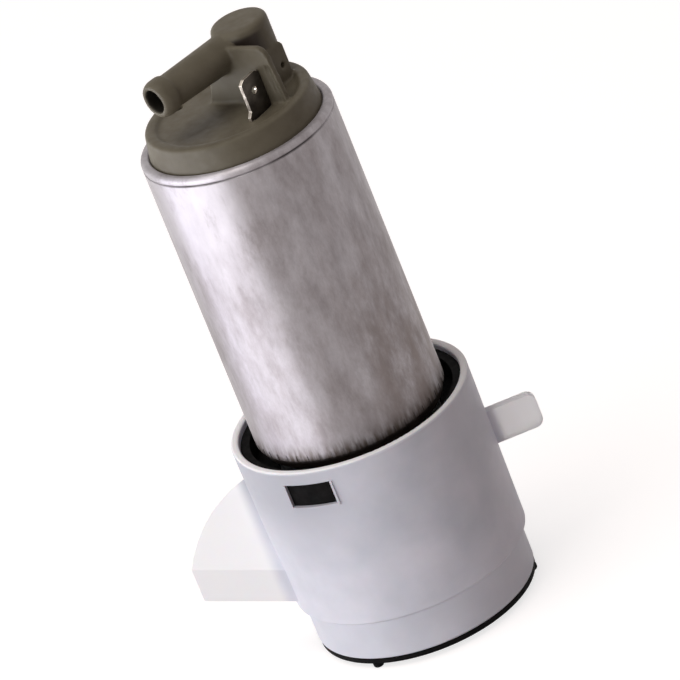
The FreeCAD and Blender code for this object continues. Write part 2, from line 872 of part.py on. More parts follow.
def magnet_levels():
    """Lower and upper ends of the magnets, centred on the armature's core."""
    middle = (core_bottom + core_top) / 2
    return middle - magnet_height / 2, middle + magnet_height / 2


def make_magnet(middle_angle):
    """Ferrite field magnet."""
    bottom, top = magnet_levels()
    outer_r = flux_ring_bore_r - fixed_gap
    return ring_sector(outer_r, magnet_inner_r, magnet_angle, middle_angle, bottom, top)


def make_magnet_clips():
    """Spring clips in the two gaps, each a back strip with two inward legs."""
    bottom, top = magnet_levels()
    outer_r = flux_ring_bore_r - fixed_gap
    gap_span = 180 - magnet_angle - math.degrees(clip_side_gap / magnet_inner_r)
    leg_span = math.degrees(clip_thickness / magnet_inner_r)
    clips = []
    for middle in (0, 180):
        back = ring_sector(outer_r, outer_r - clip_thickness, gap_span, middle, bottom, top)
        side = (gap_span - leg_span) / 2
        legs = [ring_sector(outer_r, magnet_inner_r + clip_side_gap, leg_span,
                            middle + turn, bottom, top) for turn in (-side, side)]
        clips.append(joined([back] + legs))
    return Part.makeCompound(clips)


# The outlet cover: cap, valve tower, nozzle and wall

def at_tower(shape):
    """Shape drawn along the wall (+X) and behind it (+Y), set at the tower."""
    shape.rotate(Vector(0, 0, 0), Vector(0, 0, 1), wall_angle)
    return moved(shape, tower_x, tower_y)


def brush_place(side):
    """Plan point and turn of one brush, square to the tower's direction."""
    angle = tower_turn + side * brush_angle
    x, y = on_circle(brush_circle_r, angle)
    return x, y, angle


def brush_block(side, gap, bottom, top):
    """Square block at a brush's place, with a gap all round."""
    x, y, angle = brush_place(side)
    brush = block(brush_side + 2 * gap, brush_side + 2 * gap, bottom, top)
    brush.rotate(Vector(0, 0, 0), Vector(0, 0, 1), angle)
    return moved(brush, x, y)


def choke_places():
    """Plan points of the two chokes."""
    return [on_circle(choke_circle_r, tower_turn + side * choke_angle) for side in (-1, 1)]


def make_cap_disc():
    """Round body of the cover, from the brush holder up to its raised ridge."""
    corner = cover_ridge_round
    ridge_side = ridge_top - corner
    inner_x = cover_top_r - corner - cover_ridge_width
    slope_turn = 90 + cover_slope_angle
    foot_centre = (cover_floor_r, cover_floor + cover_slope_r)
    return turned(
        (0, brush_holder_top),
        (stack_r, brush_holder_top),
        (stack_r, shoulder_top),
        (cover_neck_r, shoulder_top),
        (cover_neck_r, can_top),
        (cover_top_r, ridge_side),
        bend((cover_top_r - corner, ridge_side), corner, 45, 90),
        (inner_x, ridge_top),
        bend((inner_x, ridge_side), corner, 90 + cover_slope_angle / 2, slope_turn),
        bend(foot_centre, cover_slope_r, -90 + cover_slope_angle / 2, -90),
        (0, cover_floor),
    )


def make_tower():
    """Valve tower: a round drum with a soft top edge, in a squared base."""
    base_bottom = cover_floor - 1
    front = wall_front - wall_thickness / 2
    depth = front + tower_base_back
    middle_y = (tower_base_back - front) / 2
    base = block(2 * tower_base_half, depth, base_bottom, tower_base_top, 0, middle_y)
    back_edges = [edge for edge in base.Edges
                  if edge.BoundBox.ZMin > tower_base_top - 0.01
                  and edge.BoundBox.YMin > tower_base_back - 0.01]
    base = base.makeFillet(tower_base_round, back_edges)
    hole = Part.makeCylinder(tower_hole_r, tower_hole_depth + 1,
                             Vector(tower_base_half - tower_hole_depth, tower_hole_back,
                                    cover_floor + tower_hole_height), Vector(1, 0, 0))
    drum = turned(
        (0, base_bottom),
        (tower_r, base_bottom),
        (tower_r, tower_top - tower_round),
        bend((tower_r - tower_round, tower_top - tower_round), tower_round, 45, 90),
        (0, tower_top),
    )
    return at_tower(joined([base, drum]).cut(hole))


def make_wall():
    """Upright wall between the terminals, wider at its foot, grooved at one end."""
    foot = cover_floor - 1
    top = cover_floor + wall_height
    front = -wall_front
    corners = [
        Vector(-wall_left_foot, front, foot),
        Vector(wall_right_foot, front, foot),
        Vector(wall_right_top, front, top),
        Vector(-wall_left_top, front, top),
    ]
    wall = Part.Face(Part.makePolygon(corners + corners[:1]))
    wall = wall.extrude(Vector(0, wall_thickness, 0))
    upper_corners = [edge for edge in wall.Edges
                     if edge.BoundBox.ZMin > top - 0.01 and edge.BoundBox.XLength < 0.01]
    wall = wall.makeFillet(wall_corner_r, upper_corners)
    lean = (wall_right_foot - wall_right_top) / wall_height * groove_height
    right = wall_right_foot - groove_inset
    corners = [
        Vector(right - groove_width, front, cover_floor),
        Vector(right, front, cover_floor),
        Vector(right - lean, front, cover_floor + groove_height),
        Vector(right - lean - groove_width, front, cover_floor + groove_height),
    ]
    groove = Part.Face(Part.makePolygon(corners + corners[:1]))
    return at_tower(wall.cut(groove.extrude(Vector(0, groove_depth, 0))))


def set_nozzle(shape):
    """Shape drawn up +Z from the origin, laid along the nozzle's axis."""
    shape.rotate(Vector(0, 0, 0), Vector(0, 1, 0), 90)
    shape.rotate(Vector(0, 0, 0), Vector(0, 0, 1), nozzle_angle)
    return moved(shape, tower_x, tower_y, nozzle_z)


def make_nozzle():
    """Hose nozzle: a tube wider at its root, with one barb and a rounded tip."""
    barb_start = nozzle_length - barb_length
    land_end = barb_start + barb_ramp + barb_land
    nozzle = turned(
        (0, 0),
        (nozzle_root_r, 0),
        (nozzle_r, barb_start),
        (barb_r, barb_start + barb_ramp),
        (barb_r, land_end),
        ((barb_r - 0.2, (land_end + nozzle_length) / 2), (nozzle_tip_r, nozzle_length)),
        (0, nozzle_length),
    )
    return set_nozzle(nozzle)


def make_blade(along, outer_side, gap=0.0):
    """Spade terminal square to the wall, in front of it (-1) or behind it (1)."""
    bottom = cover_floor - blade_stem - gap
    top = cover_floor + blade_height
    half = blade_thickness / 2 + gap
    near = wall_front + blade_wall_gap if outer_side < 0 else wall_thickness - wall_front
    start = near if outer_side < 0 else near + blade_wall_gap
    start = start - gap
    end = start + blade_width + 2 * gap
    foot = blade_foot
    outline = [
        (start, bottom),
        (end, bottom),
        (end, cover_floor),
        (end + foot, cover_floor),
        (end + foot, cover_floor + foot),
        (end, cover_floor + 2 * foot),
        (end, top - blade_slope),
        ((start + end + blade_flat) / 2, top),
        ((start + end - blade_flat) / 2, top),
        (start, top - blade_slope),
    ]
    corners = [Vector(along - half, outer_side * y, z) for y, z in outline]
    blade = Part.Face(Part.makePolygon(corners + corners[:1]))
    blade = blade.extrude(Vector(2 * half, 0, 0))
    middle = outer_side * (start + end) / 2
    hole = Part.makeCylinder(blade_hole_r, 4 * half,
                             Vector(along - 2 * half, middle,
                                    cover_floor + blade_hole_height), Vector(1, 0, 0))
    return at_tower(blade.cut(hole))


def make_outlet_cover():
    """Whole cover, with its bores, pockets and terminal slots cut out."""
    bore_top = nozzle_z + nozzle_bore_r + valve_bore_headroom
    start = brush_holder_top - 1
    valve_bore = cylinder(valve_bore_r, start, bore_top, tower_x, tower_y)
    nozzle_bore = set_nozzle(cylinder(nozzle_bore_r, 0, nozzle_length + 1))
    relief_top = brush_holder_top + relief_bore_height
    relief_bore = cylinder(relief_bore_r, start, relief_top, relief_x, relief_y)
    vent = cylinder(relief_vent_r, start, cover_floor + 1, relief_x, relief_y)
    cuts = [valve_bore, nozzle_bore, relief_bore, vent]
    for side in (-1, 1):
        cuts.append(brush_block(side, slide_gap, start, brush_pocket_top))
    for x, y in choke_places():
        pocket_top = brush_holder_top + choke_pocket_height
        cuts.append(cylinder(choke_coil_r + mount_gap, start, pocket_top, x, y))
    cuts.append(seal_groove(cover_seal_level))
    shell = joined([make_cap_disc(), make_tower(), make_wall(), make_nozzle()])
    slots = [blade_slot(front_blade_along, -1), blade_slot(rear_blade_along, 1)]
    return shell.cut(cuts + slots)


def blade_slot(along, outer_side):
    """Slot in the cover's floor for a terminal's stem."""
    slot = make_blade(along, outer_side, fixed_gap)
    return slot.common(cylinder(cover_floor_r, cover_floor - 2 * blade_stem, cover_floor))


# Pieces inside the cover: chokes, brushes and valves

def make_choke_cores():
    """Ferrite rods of the two chokes."""
    bottom = brush_holder_top + fixed_gap
    rods = [cylinder(choke_core_r, bottom, bottom + choke_height, x, y)
            for x, y in choke_places()]
    return Part.makeCompound(rods)


def make_choke_coils():
    """Wire wound round the rods, as a ribbed sleeve."""
    bottom = brush_holder_top + 2 * fixed_gap
    pitch = choke_height / (choke_turns + 1)
    bore_r = choke_core_r + fixed_gap
    coils = []
    for x, y in choke_places():
        sleeve = cylinder((bore_r + choke_coil_r) / 2, bottom, bottom + choke_turns * pitch)
        beads = []
        for index in range(choke_turns):
            level = bottom + (index + 0.5) * pitch
            ring_r = choke_coil_r - pitch / 2
            beads.append(Part.makeTorus(ring_r, pitch / 2, Vector(0, 0, level)))
        bore = cylinder(bore_r, bottom - 1, bottom + choke_height + 1)
        coils.append(moved(joined([sleeve] + beads).cut(bore), x, y))
    return Part.makeCompound(coils)


def make_brush_holder():
    """Moulded disc above the armature: bearing seat, brush guides, flow holes."""
    start = flux_ring_top - 1
    end = brush_holder_top + 1
    disc = cylinder(stack_r, flux_ring_top, brush_holder_top)
    seat_bottom = upper_bearing_bottom - fixed_gap
    cuts = [
        cylinder(bearing_r + fixed_gap, seat_bottom, end),
        cylinder(shaft_r + slide_gap, start, end),
        cylinder(valve_bore_r, start, end, tower_x, tower_y),
        cylinder(relief_vent_r, start, end, relief_x, relief_y),
    ]
    for side in (-1, 1):
        cuts.append(brush_block(side, slide_gap, start, end))
    return disc.cut(cuts)


def make_brush(side):
    """Carbon brush that stands on the commutator."""
    return brush_block(side, 0, brush_bottom, brush_bottom + brush_length)


def make_brush_spring(side):
    """Spring between a brush and the end of its pocket."""
    x, y, angle = brush_place(side)
    bottom = brush_bottom + brush_length + fixed_gap
    top = brush_pocket_top - fixed_gap
    return coil_spring(brush_spring_r, brush_spring_wire_r, bottom, top,
                       brush_spring_turns, x, y)


def seat_top():
    """Upper face of the check valve's seat."""
    return brush_holder_top + valve_seat_rise + valve_seat_height


def make_check_valve_seat():
    """Seat ring pressed into the tower's bore."""
    bottom = brush_holder_top + valve_seat_rise
    return tube(valve_bore_r - fixed_gap, valve_seat_bore_r, bottom, seat_top(),
                tower_x, tower_y)


def make_check_valve_poppet():
    """Valve head with a guide stem, free to lift off its seat."""
    bottom = seat_top() + fixed_gap
    head_top = bottom + poppet_head_height
    poppet = turned(
        (0, bottom),
        (poppet_head_r, bottom),
        (poppet_head_r, bottom + poppet_head_height / 2),
        (poppet_stem_r, head_top),
        (poppet_stem_r, head_top + poppet_stem_height),
        (0, head_top + poppet_stem_height),
    )
    return moved(poppet, tower_x, tower_y)


def cage_bottom():
    """Lower face of the check valve's cage."""
    return brush_holder_top + cage_rise


def make_check_valve_cage():
    """Disc above the spring that guides the stem and lets the fuel past."""
    bottom = cage_bottom()
    top = bottom + cage_height
    disc = tube(valve_bore_r - fixed_gap, poppet_stem_r + slide_gap, bottom, top)
    x, y = on_circle(cage_hole_circle_r, 0)
    hole = cylinder(cage_hole_r, bottom - 1, top + 1, x, y)
    return moved(disc.cut(spun(hole, 6)), tower_x, tower_y)


def make_check_valve_spring():
    """Spring that holds the poppet down."""
    bottom = seat_top() + 2 * fixed_gap + poppet_head_height
    return coil_spring(check_spring_r, check_spring_wire_r, bottom,
                       cage_bottom() - fixed_gap, check_spring_turns, tower_x, tower_y)


def relief_ball_centre():
    """Level of the relief ball's centre when it sits in its seat."""
    contact = math.sqrt(relief_ball_r ** 2 - relief_vent_r ** 2)
    return brush_holder_top + fixed_gap + relief_seat_height + contact + fixed_gap


def make_relief_valve_seat():
    """Seat ring under the relief ball."""
    bottom = brush_holder_top + fixed_gap
    return tube(relief_bore_r - fixed_gap, relief_vent_r, bottom,
                bottom + relief_seat_height, relief_x, relief_y)


def make_relief_valve_ball():
    """Ball that lifts when the outlet is blocked."""
    return Part.makeSphere(relief_ball_r, Vector(relief_x, relief_y, relief_ball_centre()))


def make_relief_valve_spring():
    """Spring above the relief ball."""
    bottom = relief_ball_centre() + relief_ball_r + fixed_gap
    top = brush_holder_top + relief_bore_height - fixed_gap
    return coil_spring(relief_spring_r, relief_spring_wire_r, bottom, top,
                       relief_spring_turns, relief_x, relief_y)


# Every node of the part, by name
nodes = {
    "cup_body": make_cup_body(),
    "base_cap": make_base_cap(),
    "base_ring": make_base_ring(),
    "rubber_feet": make_rubber_feet(),
    "inlet_flap": make_inlet_flap(),
    "strainer_frame": make_strainer_frame(),
    "strainer_mesh": make_strainer_mesh(),
    "rubber_mount": make_rubber_mount(),
    "can_shell": make_can_shell(),
    "pump_inlet_cover": make_pump_inlet_cover(),
    "casing_seal_ring": make_seal_ring(casing_seal_level),
    "thrust_pad": make_thrust_pad(),
    "pump_ring": make_pump_ring(),
    "impeller": make_impeller(),
    "pump_upper_plate": make_pump_upper_plate(),
    "lower_bearing": make_bearing(bearing_bottom + fixed_gap,
                                  bearing_bottom + lower_bearing_height),
    "upper_bearing": make_bearing(upper_bearing_bottom, brush_holder_top),
    "rotor_shaft": make_rotor_shaft(),
    "thrust_washer": make_thrust_washer(),
    "armature_core": make_armature_core(),
    "end_insulators": make_end_insulators(),
    "armature_winding": make_armature_winding(),
    "commutator_hub": make_commutator_hub(),
    "commutator_segments": make_commutator_segments(),
    "flux_ring": make_flux_ring(),
    "front_magnet": make_magnet(-90),
    "rear_magnet": make_magnet(90),
    "magnet_clips": make_magnet_clips(),
    "brush_holder": make_brush_holder(),
    "front_brush": make_brush(-1),
    "rear_brush": make_brush(1),
    "front_brush_spring": make_brush_spring(-1),
    "rear_brush_spring": make_brush_spring(1),
    "choke_cores": make_choke_cores(),
    "choke_coils": make_choke_coils(),
    "outlet_cover": make_outlet_cover(),
    "cover_seal_ring": make_seal_ring(cover_seal_level),
    "front_terminal": make_blade(front_blade_along, -1),
    "rear_terminal": make_blade(rear_blade_along, 1),
    "check_valve_seat": make_check_valve_seat(),
    "check_valve_poppet": make_check_valve_poppet(),
    "check_valve_spring": make_check_valve_spring(),
    "check_valve_cage": make_check_valve_cage(),
    "relief_valve_seat": make_relief_valve_seat(),
    "relief_valve_ball": make_relief_valve_ball(),
    "relief_valve_spring": make_relief_valve_spring(),
}

os.makedirs("parts", exist_ok=True)
for name, shape in nodes.items():
    shape.exportStep("parts/" + name + ".step")
    print(name, len(shape.Solids), shape.isValid(), round(shape.Volume, 1))
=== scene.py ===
import math

import bpy
from mathutils import Matrix, Vector


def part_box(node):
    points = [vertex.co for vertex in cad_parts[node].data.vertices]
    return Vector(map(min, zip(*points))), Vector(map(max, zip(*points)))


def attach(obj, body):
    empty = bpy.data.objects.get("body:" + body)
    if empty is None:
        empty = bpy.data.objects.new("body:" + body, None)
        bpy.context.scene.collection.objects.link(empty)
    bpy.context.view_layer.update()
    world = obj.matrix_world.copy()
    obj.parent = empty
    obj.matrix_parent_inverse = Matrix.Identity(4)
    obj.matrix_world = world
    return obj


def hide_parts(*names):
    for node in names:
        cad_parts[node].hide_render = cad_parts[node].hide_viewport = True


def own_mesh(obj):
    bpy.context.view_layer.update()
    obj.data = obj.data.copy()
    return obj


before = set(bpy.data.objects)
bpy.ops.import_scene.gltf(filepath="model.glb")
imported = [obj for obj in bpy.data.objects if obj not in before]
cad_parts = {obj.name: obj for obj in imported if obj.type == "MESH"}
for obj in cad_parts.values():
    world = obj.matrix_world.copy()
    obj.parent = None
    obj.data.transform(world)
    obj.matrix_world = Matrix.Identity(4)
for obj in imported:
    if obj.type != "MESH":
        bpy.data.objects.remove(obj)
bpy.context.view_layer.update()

# Camera
# The photograph looks down on the pump at 25 degrees through a long lens, and is turned so
# that the pump leans to the left.
camera_lean = math.radians(22.1)
camera_fall = math.radians(25.0)
camera_distance = 1.7
camera_target = Vector((0.0035, 0.0, 0.065))
camera_back = Vector((0, -math.cos(camera_fall), math.sin(camera_fall)))
level_up = Vector((0, math.sin(camera_fall), math.cos(camera_fall)))
camera_right = math.cos(camera_lean) * Vector((1, 0, 0)) - math.sin(camera_lean) * level_up
camera_up = camera_back.cross(camera_right)
camera_data = bpy.data.cameras.new("photo_camera")
camera_data.lens = 423
camera_data.clip_start = 0.1
camera_data.clip_end = 50
camera = bpy.data.objects.new("photo_camera", camera_data)
camera.matrix_world = Matrix.Translation(camera_target + camera_back * camera_distance) @ Matrix((
    (camera_right.x, camera_up.x, camera_back.x, 0),
    (camera_right.y, camera_up.y, camera_back.y, 0),
    (camera_right.z, camera_up.z, camera_back.z, 0),
    (0, 0, 0, 1),
))
bpy.context.scene.collection.objects.link(camera)
bpy.context.scene.camera = camera


# Base cap
# The cap under the cup is one moulding of white nylon, pressed into the cup by its plug and
# welded round the seam. Its surface is slightly clouded and has a fine satin grain.
def start_finish(name, **settings):
    """A new material and its node tree, with the shader's constant settings."""
    finish = bpy.data.materials.new(name)
    finish.use_nodes = True
    shader = finish.node_tree.nodes["Principled BSDF"]
    for setting, value in settings.items():
        shader.inputs[setting.replace("_", " ")].default_value = value
    return finish


def speckle(finish, scale, detail=3.0, stretch=(1, 1, 1), coarse=0.5):
    """Noise on the piece's own coordinates. A scale of 1000 has grains of a millimetre."""
    nodes, links = finish.node_tree.nodes, finish.node_tree.links
    place = nodes.new("ShaderNodeTexCoord")
    mapping = nodes.new("ShaderNodeMapping")
    mapping.inputs["Scale"].default_value = stretch
    noise = nodes.new("ShaderNodeTexNoise")
    noise.inputs["Scale"].default_value = scale
    noise.inputs["Detail"].default_value = detail
    noise.inputs["Roughness"].default_value = coarse
    links.new(place.outputs["Object"], mapping.inputs["Vector"])
    links.new(mapping.outputs["Vector"], noise.inputs["Vector"])
    return noise.outputs["Fac"]


def tint(finish, pattern, *stops):
    """Colour the shader's base by a pattern, through (position, colour) stops."""
    nodes, links = finish.node_tree.nodes, finish.node_tree.links
    ramp = nodes.new("ShaderNodeValToRGB")
    while len(ramp.color_ramp.elements) < len(stops):
        ramp.color_ramp.elements.new(0.5)
    for element, (position, colour) in zip(ramp.color_ramp.elements, stops):
        element.position = position
        element.color = (*colour, 1)
    links.new(pattern, ramp.inputs["Fac"])
    links.new(ramp.outputs["Color"], nodes["Principled BSDF"].inputs["Base Color"])


def gloss(finish, pattern, shiny, dull):
    """Spread the shader's roughness over a pattern."""
    nodes, links = finish.node_tree.nodes, finish.node_tree.links
    spread = nodes.new("ShaderNodeMapRange")
    spread.inputs["From Min"].default_value = 0.3
    spread.inputs["From Max"].default_value = 0.7
    spread.inputs["To Min"].default_value = shiny
    spread.inputs["To Max"].default_value = dull
    links.new(pattern, spread.inputs["Value"])
    links.new(spread.outputs["Result"], nodes["Principled BSDF"].inputs["Roughness"])


def relief(finish, pattern, height, strength=1.0):
    """Raise a pattern from the surface, by a height in metres."""
    nodes, links = finish.node_tree.nodes, finish.node_tree.links
    bump = nodes.new("ShaderNodeBump")
    bump.inputs["Strength"].default_value = strength
    bump.inputs["Distance"].default_value = height
    links.new(pattern, bump.inputs["Height"])
    links.new(bump.outputs["Normal"], nodes["Principled BSDF"].inputs["Normal"])


def give(finish, *names):
    """Finish CAD nodes by their material slots."""
    for name in names:
        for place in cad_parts[name].material_slots:
            place.material = finish


def mould_nylon(name, low, high):
    """White nylon, clouded between two colours."""
    nylon = start_finish(
        name, Subsurface_Weight=0.1, Subsurface_Scale=0.0012, Specular_IOR_Level=0.3)
    tint(nylon, speckle(nylon, 70, 5), (0.3, low), (0.7, high))
    gloss(nylon, speckle(nylon, 500, 2), 0.42, 0.55)
    relief(nylon, speckle(nylon, 1500, 2), 0.00003, 0.35)
    return nylon


base_nylon = mould_nylon("base_nylon", (0.63, 0.64, 0.71), (0.73, 0.735, 0.81))
give(base_nylon, "base_cap")

# Base ring and feet
# A flat ring of black rubber is stuck under the base cap, and three small feet are pushed
# through it. The rubber is matt, with a dusty grain.
black_rubber = start_finish("black_rubber", IOR=1.5, Specular_IOR_Level=0.06)
tint(black_rubber, speckle(black_rubber, 300, 4),
     (0.35, (0.002, 0.002, 0.002)), (0.75, (0.006, 0.005, 0.005)))
gloss(black_rubber, speckle(black_rubber, 700, 2), 0.65, 0.85)
relief(black_rubber, speckle(black_rubber, 2500, 2), 0.00003, 0.4)
give(black_rubber, "base_ring", "rubber_feet")

# Inlet strainer and flap
# A spoked frame and a woven mesh of white nylon cover the inlet under the base, and a rubber
# umbrella over the six inlet holes keeps fuel from running back.
strainer_nylon = start_finish(
    "strainer_nylon", Subsurface_Weight=0.05, Subsurface_Scale=0.0005, IOR=1.53)
tint(strainer_nylon, speckle(strainer_nylon, 400, 3),
     (0.3, (0.56, 0.55, 0.52)), (0.7, (0.68, 0.67, 0.65)))
gloss(strainer_nylon, speckle(strainer_nylon, 900, 2), 0.45, 0.62)
relief(strainer_nylon, speckle(strainer_nylon, 2500, 2), 0.00002, 0.5)
give(strainer_nylon, "strainer_frame", "strainer_mesh")
give(black_rubber, "inlet_flap")

# Holder cup
# The cup is one moulding of white nylon, with a rounded lip, a window for the mount's lug, a
# flat tab and a bent wing. Painted shade darkens it high on the wing's side. The thin wing and
# tab are painted paler as painted light for light coming through them, the lip has a painted
# highlight, and the tab also lets part of the light through.
cup_nylon = mould_nylon("cup_nylon", (0.60, 0.615, 0.69), (0.755, 0.75, 0.83))


def share_along(finish, axis, clear, full):
    """Share that grows from nothing to all between two places along an axis, in metres."""
    nodes, links = finish.node_tree.nodes, finish.node_tree.links
    place = nodes.new("ShaderNodeTexCoord")
    along = nodes.new("ShaderNodeSeparateXYZ")
    share = nodes.new("ShaderNodeMapRange")
    share.interpolation_type = "SMOOTHSTEP"
    share.inputs["From Min"].default_value = clear
    share.inputs["From Max"].default_value = full
    links.new(place.outputs["Object"], along.inputs["Vector"])
    links.new(along.outputs[axis], share.inputs["Value"])
    return share.outputs["Result"]


def paint(finish, share, colour):
    """Blend what already colours the shader's base to a colour, by a share."""
    nodes, links = finish.node_tree.nodes, finish.node_tree.links
    base = nodes["Principled BSDF"].inputs["Base Color"]
    blend = nodes.new("ShaderNodeMix")
    blend.data_type = "RGBA"
    blend.inputs["B"].default_value = (*colour, 1)
    links.new(share, blend.inputs["Factor"])
    links.new(base.links[0].from_socket, blend.inputs["A"])
    links.new(blend.outputs["Result"], base)


def product(finish, first, second):
    """Two shares multiplied."""
    times = finish.node_tree.nodes.new("ShaderNodeMath")
    times.operation = "MULTIPLY"
    finish.node_tree.links.new(first, times.inputs[0])
    finish.node_tree.links.new(second, times.inputs[1])
    return times.outputs[0]


def let_light_through(finish, share, most):
    """Let part of the light through where a share is full."""
    nodes, links = finish.node_tree.nodes, finish.node_tree.links
    passing = nodes.new("ShaderNodeMath")
    passing.operation = "MULTIPLY"
    passing.inputs[1].default_value = most
    links.new(share, passing.inputs[0])
    links.new(passing.outputs[0], nodes["Principled BSDF"].inputs["Transmission Weight"])


# Painted shade: the wall is darkened towards its top on the wing's side.
painted_shade_height = share_along(cup_nylon, "Z", 0.022, 0.044)
painted_shade_side = share_along(cup_nylon, "X", -0.003, -0.02)
paint(cup_nylon, product(cup_nylon, painted_shade_height, painted_shade_side), (0.48, 0.485, 0.54))
# Painted light: the thin wing and tab are painted paler, standing in for light that comes through
# them, and the top of the lip is painted paler as a painted highlight.
painted_light_nylon = (0.93, 0.925, 0.94)
wing_painted_light = share_along(cup_nylon, "X", -0.0265, -0.0295)
tab_painted_light_and_passing = share_along(cup_nylon, "X", 0.0268, 0.0292)
lip_painted_highlight = share_along(cup_nylon, "Z", 0.0498, 0.0501)
paint(cup_nylon, wing_painted_light, painted_light_nylon)
paint(cup_nylon, tab_painted_light_and_passing, painted_light_nylon)
let_light_through(cup_nylon, tab_painted_light_and_passing, most=0.55)
paint(cup_nylon, lip_painted_highlight, painted_light_nylon)
give(cup_nylon, "cup_body")

# Rubber mount
# A sleeve of soft black rubber is moulded with a ledge and a lug, and pushed into the cup. It
# holds the pump by its skirt, and its lug shows in the cup's window.
give(black_rubber, "rubber_mount")

# Turbine stage
# The inlet cover, pump ring and upper plate are die-cast aluminium, left as cast with a dull
# grey skin. The impeller is a dark filled plastic, and two rubber rings seal the can's ends.
cast_aluminium = start_finish("cast_aluminium", Metallic=1.0)
tint(cast_aluminium, speckle(cast_aluminium, 350, 5),
     (0.3, (0.28, 0.28, 0.29)), (0.7, (0.36, 0.36, 0.37)))
gloss(cast_aluminium, speckle(cast_aluminium, 800, 3), 0.4, 0.62)
relief(cast_aluminium, speckle(cast_aluminium, 1500, 3), 0.00005, 0.5)
give(cast_aluminium, "pump_inlet_cover", "pump_ring", "pump_upper_plate")
impeller_plastic = start_finish("impeller_plastic", IOR=1.55, Specular_IOR_Level=0.5)
tint(impeller_plastic, speckle(impeller_plastic, 600, 4),
     (0.3, (0.020, 0.019, 0.018)), (0.7, (0.045, 0.042, 0.038)))
gloss(impeller_plastic, speckle(impeller_plastic, 900, 2), 0.35, 0.5)
relief(impeller_plastic, speckle(impeller_plastic, 2500, 2), 0.00002, 0.4)
give(impeller_plastic, "impeller", "commutator_hub")
give(black_rubber, "casing_seal_ring", "cover_seal_ring")

# Shaft and bearings
# The shaft is ground steel. It turns in two sintered bronze bushes, and sits on a pad and
# under a washer of plain nylon.
ground_steel = start_finish("ground_steel", Metallic=1.0)
tint(ground_steel, speckle(ground_steel, 300, 3, (1, 1, 20)),
     (0.3, (0.50, 0.50, 0.51)), (0.7, (0.62, 0.62, 0.63)))
gloss(ground_steel, speckle(ground_steel, 400, 3, (1, 1, 20)), 0.16, 0.28)
relief(ground_steel, speckle(ground_steel, 800, 2, (1, 1, 20)), 0.000004, 0.4)
give(ground_steel, "rotor_shaft")
sintered_bronze = start_finish("sintered_bronze", Metallic=1.0)
tint(sintered_bronze, speckle(sintered_bronze, 1500, 3),
     (0.3, (0.36, 0.22, 0.10)), (0.7, (0.55, 0.36, 0.18)))
gloss(sintered_bronze, speckle(sintered_bronze, 1500, 2), 0.35, 0.55)
relief(sintered_bronze, speckle(sintered_bronze, 3000, 2), 0.00002, 0.5)
give(sintered_bronze, "lower_bearing", "upper_bearing")
natural_plastic = start_finish(
    "natural_plastic", Subsurface_Weight=0.1, Subsurface_Scale=0.001, IOR=1.5)
tint(natural_plastic, speckle(natural_plastic, 300, 4),
     (0.3, (0.56, 0.50, 0.38)), (0.7, (0.68, 0.62, 0.50)))
gloss(natural_plastic, speckle(natural_plastic, 800, 2), 0.35, 0.5)
relief(natural_plastic, speckle(natural_plastic, 2500, 2), 0.00002, 0.4)
give(natural_plastic, "thrust_pad", "thrust_washer")

# Armature
# The core is a pack of punched steel sheets, seen as fine level lines, between two plastic
# end pieces. Enamelled copper wire fills its slots and meets the commutator's copper bars.
sheet_steel = start_finish("sheet_steel", Metallic=1.0)
tint(sheet_steel, speckle(sheet_steel, 100, 2, (1, 1, 20)),
     (0.35, (0.20, 0.20, 0.21)), (0.65, (0.42, 0.42, 0.43)))
gloss(sheet_steel, speckle(sheet_steel, 500, 3), 0.35, 0.55)
relief(sheet_steel, speckle(sheet_steel, 100, 2, (1, 1, 20)), 0.00005, 0.6)
give(sheet_steel, "armature_core")
give(natural_plastic, "end_insulators")
copper = start_finish("copper", Metallic=1.0)
tint(copper, speckle(copper, 900, 3), (0.3, (0.55, 0.22, 0.09)), (0.7, (0.78, 0.36, 0.18)))
gloss(copper, speckle(copper, 700, 2), 0.2, 0.38)
relief(copper, speckle(copper, 2500, 2), 0.00002, 0.5)
give(copper, "armature_winding", "commutator_segments")

# Field magnets
# Two ferrite arcs are held by spring steel clips in a rolled steel tube, which also spaces
# the turbine stage from the brush holder.
tube_steel = start_finish("tube_steel", Metallic=1.0)
tint(tube_steel, speckle(tube_steel, 250, 4, (1, 1, 0.2)),
     (0.3, (0.30, 0.30, 0.31)), (0.7, (0.45, 0.45, 0.46)))
gloss(tube_steel, speckle(tube_steel, 500, 3), 0.35, 0.5)
relief(tube_steel, speckle(tube_steel, 900, 3), 0.00002, 0.5)
give(tube_steel, "flux_ring")
ferrite = start_finish("ferrite", IOR=1.8, Specular_IOR_Level=0.4)
tint(ferrite, speckle(ferrite, 900, 5), (0.3, (0.025, 0.025, 0.027)), (0.7, (0.060, 0.058, 0.058)))
gloss(ferrite, speckle(ferrite, 900, 3), 0.45, 0.7)
relief(ferrite, speckle(ferrite, 2000, 3), 0.00004, 0.6)
give(ferrite, "front_magnet", "rear_magnet")
spring_steel = start_finish("spring_steel", Metallic=1.0)
tint(spring_steel, speckle(spring_steel, 700, 3),
     (0.3, (0.34, 0.34, 0.36)), (0.7, (0.50, 0.50, 0.52)))
gloss(spring_steel, speckle(spring_steel, 900, 2), 0.2, 0.35)
relief(spring_steel, speckle(spring_steel, 2500, 2), 0.00001, 0.4)
give(spring_steel, "magnet_clips")

# Brushes and chokes
# Carbon brushes slide in the cover above the brush holder, each pushed by a wound spring that
# shortens as its brush lifts. Two choke coils on ferrite rods stand beside them.
carbon = start_finish("carbon", IOR=1.7, Specular_IOR_Level=0.5)
tint(carbon, speckle(carbon, 1500, 4), (0.3, (0.010, 0.010, 0.011)), (0.7, (0.035, 0.034, 0.034)))
gloss(carbon, speckle(carbon, 1200, 3), 0.35, 0.6)
relief(carbon, speckle(carbon, 3000, 3), 0.00003, 0.5)
give(carbon, "front_brush", "rear_brush")
give(natural_plastic, "brush_holder")


